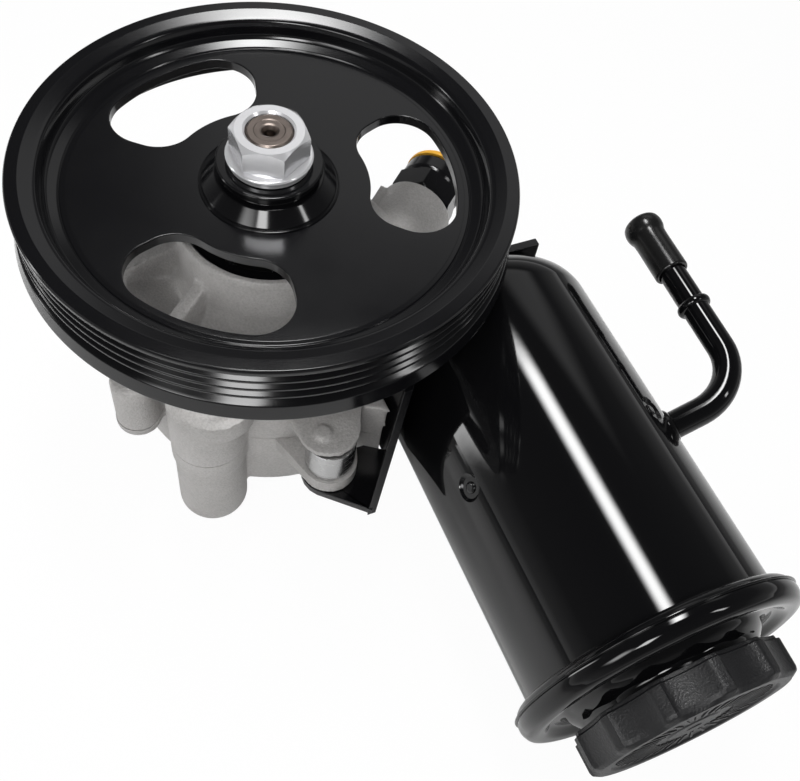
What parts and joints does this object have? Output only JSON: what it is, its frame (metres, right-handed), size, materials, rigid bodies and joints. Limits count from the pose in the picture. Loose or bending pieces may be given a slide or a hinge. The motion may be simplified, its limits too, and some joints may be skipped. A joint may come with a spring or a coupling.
{
  "type": "power steering pump",
  "caption": "Belt-driven power steering pump: cast aluminium body, black windowed pulley, and a gloss black cylindrical oil reservoir with side bracket, return tube and screw cap.",
  "frame": {"origin": "on the shaft axis, in the plane of the pump's flat rear face", "axes": "+Z along the shaft towards the pulley nut, -Y along the reservoir towards its cap, +X from the pump towards the reservoir"},
  "size_m": [0.2166, 0.2573, 0.1338],
  "materials": {
    "cast_aluminium": "as cast, light warm grey",
    "machined_steel": "machined",
    "shaft_steel": "oiled brown-grey",
    "zinc_plate": "bright plated",
    "gloss_black": "gloss",
    "satin_black": "satin",
    "moulded_black": "fine grain",
    "black_rubber": "smooth",
    "yellow_plastic": "smooth",
    "brass": "machined"
  },
  "bodies": {
    "housing": {"front_housing": "cast_aluminium", "rear_housing": "cast_aluminium", "housing_bolt_1": "zinc_plate", "housing_bolt_2": "zinc_plate", "housing_bolt_3": "zinc_plate", "housing_oring": "black_rubber", "cam_ring": "machined_steel", "front_plate": "machined_steel", "rear_plate": "machined_steel", "dowel_pin_1": "machined_steel", "dowel_pin_2": "machined_steel", "rear_bush": "brass", "shaft_seal": "black_rubber", "bearing_outer_race": "machined_steel", "bearing_shield": "black_rubber", "bearing_snap_ring": "satin_black", "valve_spring": "machined_steel", "pressure_union": "satin_black", "shipping_plug": "yellow_plastic", "bracket": "satin_black", "bracket_bolt_1": "zinc_plate", "bracket_bolt_2": "zinc_plate", "ear_bush": "machined_steel", "reservoir_can": "gloss_black", "reservoir_end": "gloss_black", "return_tube": "gloss_black", "tube_sleeve": "black_rubber", "suction_pipe": "satin_black"},
    "rotating_group": {"shaft": "shaft_steel", "shaft_key": "machined_steel", "pulley": "satin_black", "pulley_hub": "gloss_black", "pulley_washer": "zinc_plate", "pulley_nut": "zinc_plate", "rotor": "machined_steel", "rotor_snap_ring": "machined_steel", "bearing_inner_race": "machined_steel"},
    "ball_cage": {"bearing_cage": "brass", "bearing_ball_1": "machined_steel", "bearing_ball_2": "machined_steel", "bearing_ball_3": "machined_steel", "bearing_ball_4": "machined_steel", "bearing_ball_5": "machined_steel", "bearing_ball_6": "machined_steel", "bearing_ball_7": "machined_steel"},
    "vane_body_1": {"vane_1": "machined_steel"},
    "vane_body_2": {"vane_2": "machined_steel"},
    "vane_body_3": {"vane_3": "machined_steel"},
    "vane_body_4": {"vane_4": "machined_steel"},
    "vane_body_5": {"vane_5": "machined_steel"},
    "vane_body_6": {"vane_6": "machined_steel"},
    "vane_body_7": {"vane_7": "machined_steel"},
    "vane_body_8": {"vane_8": "machined_steel"},
    "vane_body_9": {"vane_9": "machined_steel"},
    "vane_body_10": {"vane_10": "machined_steel"},
    "spool_body": {"valve_spool": "machined_steel"},
    "stick_body": {"cap_gasket": "black_rubber", "dipstick": "moulded_black"},
    "cap_body": {"filler_cap": "moulded_black"}
  },
  "joints": [
    {"name": "shaft_spin", "type": "hinge", "parent": "housing", "child": "rotating_group", "pos_m": [0, 0, 0.05], "axis": [0, 0, 1], "continuous": true},
    {"name": "cage_spin", "type": "hinge", "parent": "housing", "child": "ball_cage", "pos_m": [0, 0, 0.0747], "axis": [0, 0, 1], "continuous": true},
    {"name": "vane_1_slide", "type": "slide", "parent": "rotating_group", "child": "vane_body_1", "axis": [1, 0, 0], "range_m": [0, 0.0023]},
    {"name": "vane_2_slide", "type": "slide", "parent": "rotating_group", "child": "vane_body_2", "axis": [0.809, 0.5878, 0], "range_m": [0, 0.0014]},
    {"name": "vane_3_slide", "type": "slide", "parent": "rotating_group", "child": "vane_body_3", "axis": [0.309, 0.9511, 0], "range_m": [0, 0.0002]},
    {"name": "vane_4_slide", "type": "slide", "parent": "rotating_group", "child": "vane_body_4", "axis": [-0.309, 0.9511, 0], "range_m": [0, 0.0002]},
    {"name": "vane_5_slide", "type": "slide", "parent": "rotating_group", "child": "vane_body_5", "axis": [-0.809, 0.5878, 0], "range_m": [0, 0.0014]},
    {"name": "vane_6_slide", "type": "slide", "parent": "rotating_group", "child": "vane_body_6", "axis": [-1, 0, 0], "range_m": [0, 0.0023]},
    {"name": "vane_7_slide", "type": "slide", "parent": "rotating_group", "child": "vane_body_7", "axis": [-0.809, -0.5878, 0], "range_m": [0, 0.0014]},
    {"name": "vane_8_slide", "type": "slide", "parent": "rotating_group", "child": "vane_body_8", "axis": [-0.309, -0.9511, 0], "range_m": [0, 0.0002]},
    {"name": "vane_9_slide", "type": "slide", "parent": "rotating_group", "child": "vane_body_9", "axis": [0.309, -0.9511, 0], "range_m": [0, 0.0002]},
    {"name": "vane_10_slide", "type": "slide", "parent": "rotating_group", "child": "vane_body_10", "axis": [0.809, -0.5878, 0], "range_m": [0, 0.0014]},
    {"name": "valve_slide", "type": "slide", "parent": "housing", "child": "spool_body", "axis": [-0.7431, -0.6691, 0], "range_m": [0, 0.003], "deforming": ["valve_spring"]},
    {"name": "cap_lift", "type": "slide", "parent": "housing", "child": "stick_body", "axis": [0, -1, 0], "range_m": [0, 0.09]},
    {"name": "cap_turn", "type": "hinge", "parent": "stick_body", "child": "cap_body", "pos_m": [0.0667, -0.175, 0.0324], "axis": [0, -1, 0], "range_deg": [0, 90]}
  ],
  "couplings": [
    {"joint": "cage_spin", "follows": "shaft_spin", "ratio": 0.3722}
  ]
}
